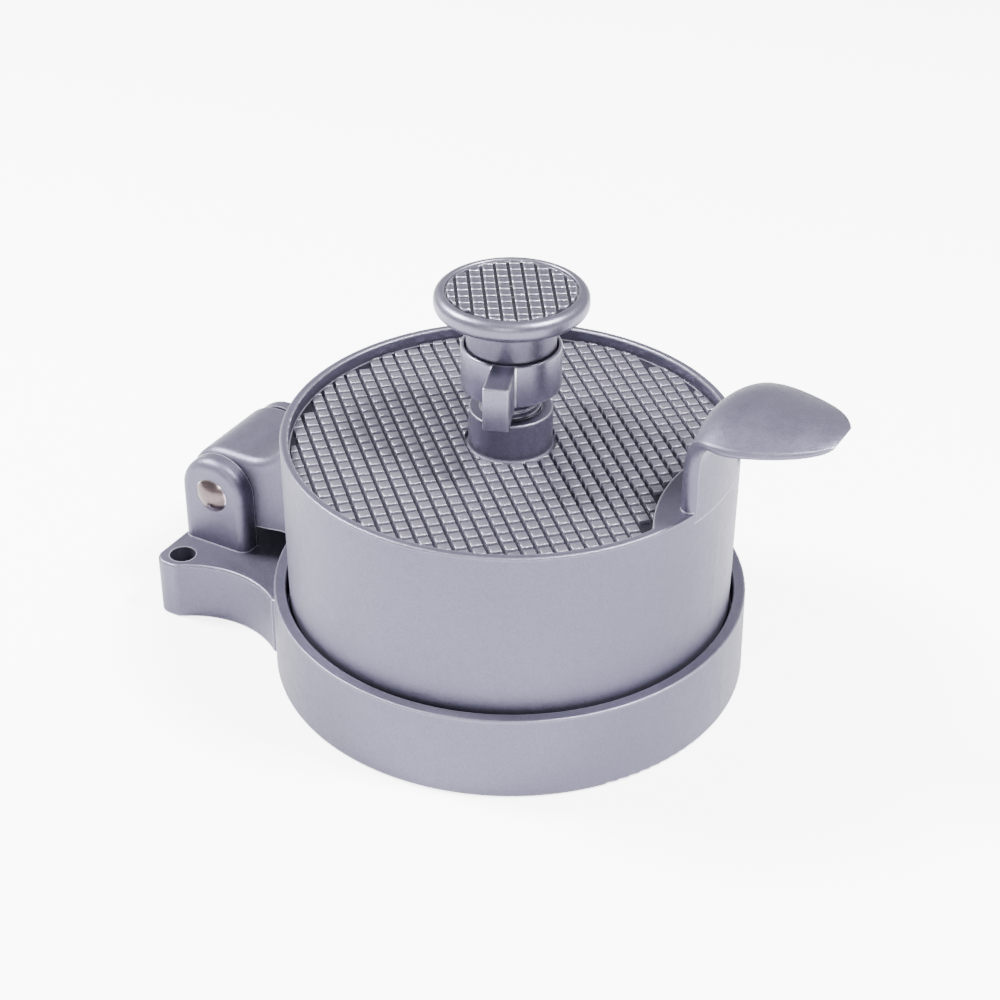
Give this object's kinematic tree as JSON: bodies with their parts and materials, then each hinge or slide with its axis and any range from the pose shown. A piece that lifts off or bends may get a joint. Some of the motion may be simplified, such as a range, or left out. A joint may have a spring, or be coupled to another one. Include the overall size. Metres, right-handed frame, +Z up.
{
  "type": "patty press",
  "caption": "Hinged cast aluminium patty press with a ring base, waffled lid, thumb lever, winged thickness adjuster and sprung push knob.",
  "frame": {"origin": "centre of the base ring, on the plane it stands on", "axes": "+Z up along the plunger, +X from the hinge towards the thumb lever"},
  "size_m": [0.1863, 0.1288, 0.1108],
  "materials": {
    "cast_aluminium": "bead-blasted sand cast",
    "tumbled_aluminium": "tumbled, satin",
    "steel": "polished",
    "spring_steel": "bright drawn"
  },
  "bodies": {
    "base": {"base_casting": "cast_aluminium", "hinge_pin": "steel", "hinge_pin_washer": "steel", "hinge_pin_clip": "spring_steel"},
    "lid": {"lid_casting": "cast_aluminium"},
    "adjuster": {"spring_seat_washer": "steel", "return_spring": "spring_steel"},
    "wing_nut": {"wing_nut": "tumbled_aluminium"},
    "plunger_slide": {"spring_cap_washer": "steel"},
    "plunger": {"plunger_rod": "steel", "knob": "tumbled_aluminium", "knob_lock_nut": "steel", "press_plate": "cast_aluminium", "plunger_stop_washer": "steel", "plate_screw": "steel"}
  },
  "joints": [
    {"name": "lid_hinge", "type": "hinge", "parent": "base", "child": "lid", "pos_m": [-0.0844, 0, 0.0336], "axis": [0, -1, 0], "range_deg": [0, 135]},
    {"name": "thickness", "type": "slide", "parent": "lid", "child": "adjuster", "axis": [0, 0, 1], "range_m": [-0.0063, 0.021]},
    {"name": "nut_turn", "type": "hinge", "parent": "adjuster", "child": "wing_nut", "pos_m": [0, 0, 0.0837], "axis": [0, 0, 1], "range_deg": [-1135, 3782]},
    {"name": "press", "type": "slide", "parent": "adjuster", "child": "plunger_slide", "axis": [0, 0, -1], "range_m": [0, 0.009], "stiffness_N_per_m": 1500, "springref_m": -0.009, "deforming": ["return_spring"]},
    {"name": "plunger_spin", "type": "hinge", "parent": "plunger_slide", "child": "plunger", "pos_m": [0, 0, 0.06], "axis": [0, 0, 1], "continuous": true}
  ],
  "couplings": [
    {"joint": "nut_turn", "follows": "thickness", "rad_per_m": 3141.6}
  ]
}
